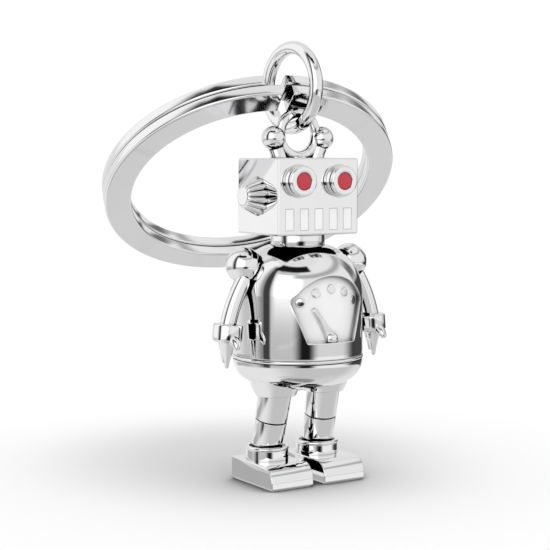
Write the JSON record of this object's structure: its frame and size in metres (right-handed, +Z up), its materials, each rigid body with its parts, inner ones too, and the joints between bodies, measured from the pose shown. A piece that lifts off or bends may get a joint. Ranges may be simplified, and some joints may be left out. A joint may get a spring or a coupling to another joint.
{
  "type": "robot figure key-ring charm",
  "caption": "Small plated metal robot figure with turning head, swinging arms and legs, hung from a jump ring and a split ring for keys.",
  "frame": {"origin": "on the floor plane, midway between the two feet, straight below the neck's turning axis", "axes": "+Z up along the body, -Y the way the robot faces, +X the robot's own left side"},
  "size_m": [0.0331, 0.0338, 0.0467],
  "materials": {
    "polished_plate": "mirror polished plating on cast metal",
    "ring_plate": "bright plated steel wire",
    "steel_pin": "plain turned steel",
    "white_enamel": "gloss white enamel",
    "red_enamel": "gloss red enamel"
  },
  "bodies": {
    "torso": {"torso_shell": "polished_plate", "waist_ring": "polished_plate", "pelvis_bowl": "polished_plate", "hip_axle": "steel_pin", "dial_lamps": "polished_plate", "dial_needle": "polished_plate", "dial_pivot": "polished_plate", "neck_collar": "polished_plate"},
    "head": {"head_block": "polished_plate", "neck_rivet": "steel_pin", "teeth_enamel": "white_enamel", "eye_barrel_left": "polished_plate", "eye_barrel_right": "polished_plate", "eye_enamel_left": "red_enamel", "eye_enamel_right": "red_enamel", "ear_knob_left": "polished_plate", "ear_knob_right": "polished_plate", "antenna_left": "polished_plate", "antenna_right": "polished_plate", "top_eyelet": "polished_plate"},
    "arm_left": {"shoulder_ball_left": "polished_plate", "shoulder_rivet_left": "steel_pin", "arm_left": "polished_plate", "hand_left": "polished_plate"},
    "arm_right": {"shoulder_ball_right": "polished_plate", "shoulder_rivet_right": "steel_pin", "arm_right": "polished_plate", "hand_right": "polished_plate"},
    "leg_left": {"thigh_left": "polished_plate", "knee_pin_left": "steel_pin", "shin_left": "polished_plate", "ankle_pin_left": "steel_pin", "ankle_cuff_left": "polished_plate", "foot_left": "polished_plate"},
    "leg_right": {"thigh_right": "polished_plate", "knee_pin_right": "steel_pin", "shin_right": "polished_plate", "ankle_pin_right": "steel_pin", "ankle_cuff_right": "polished_plate", "foot_right": "polished_plate"},
    "jump_ring": {"jump_ring": "ring_plate"},
    "split_ring": {"split_ring": "ring_plate"}
  },
  "joints": [
    {"name": "head_turn", "type": "hinge", "parent": "torso", "child": "head", "pos_m": [0, 0, 0.0264], "axis": [0, 0, 1], "continuous": true},
    {"name": "shoulder_left", "type": "hinge", "parent": "torso", "child": "arm_left", "pos_m": [0.00671, 0, 0.02325], "axis": [-1, 0, 0], "continuous": true},
    {"name": "shoulder_right", "type": "hinge", "parent": "torso", "child": "arm_right", "pos_m": [-0.00671, 0, 0.02325], "axis": [-1, 0, 0], "continuous": true},
    {"name": "hip_left", "type": "hinge", "parent": "torso", "child": "leg_left", "pos_m": [0.00305, -0.00045, 0.01], "axis": [-1, 0, 0], "range_deg": [-3, 22]},
    {"name": "hip_right", "type": "hinge", "parent": "torso", "child": "leg_right", "pos_m": [-0.00305, -0.00045, 0.01], "axis": [-1, 0, 0], "range_deg": [-3, 22]},
    {"name": "jump_ring_swing", "type": "hinge", "parent": "head", "child": "jump_ring", "pos_m": [0, 0, 0.03912], "axis": [0.9976, 0.0698, 0], "range_deg": [-35, 95]},
    {"name": "split_ring_spin", "type": "hinge", "parent": "jump_ring", "child": "split_ring", "pos_m": [0.00167, 0.01268, 0.03205], "axis": [0.1469, 0.5893, 0.7944], "continuous": true}
  ]
}
